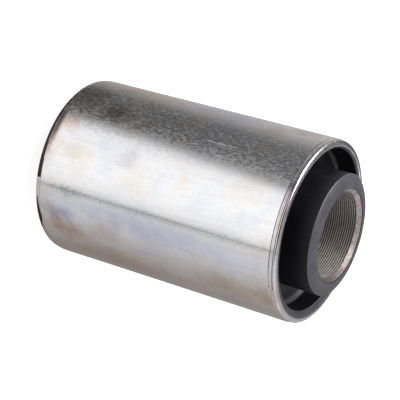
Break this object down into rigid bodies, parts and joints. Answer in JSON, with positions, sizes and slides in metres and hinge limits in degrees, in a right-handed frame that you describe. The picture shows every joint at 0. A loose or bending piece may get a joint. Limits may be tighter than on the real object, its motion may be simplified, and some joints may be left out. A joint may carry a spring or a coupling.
{
  "type": "leaf spring bushing",
  "caption": "Bonded rubber and steel bushing for a leaf spring eye: rolled zinc-plated sleeve, moulded rubber body with recessed ends, and a bored steel bolt tube.",
  "frame": {"origin": "on the axis at the lower end face, so the bushing stands on z 0", "axes": "+Z along the bore towards the end that faces the camera in the picture, -Y towards the camera"},
  "size_m": [0.06, 0.06, 0.1036],
  "materials": {
    "zinc_steel": "semi-gloss zinc plate",
    "black_rubber": "moulded satin",
    "bored_steel": "turned"
  },
  "bodies": {
    "root": {"outer_sleeve": "zinc_steel", "rubber_body": "black_rubber", "inner_tube": "bored_steel"}
  },
  "joints": []
}
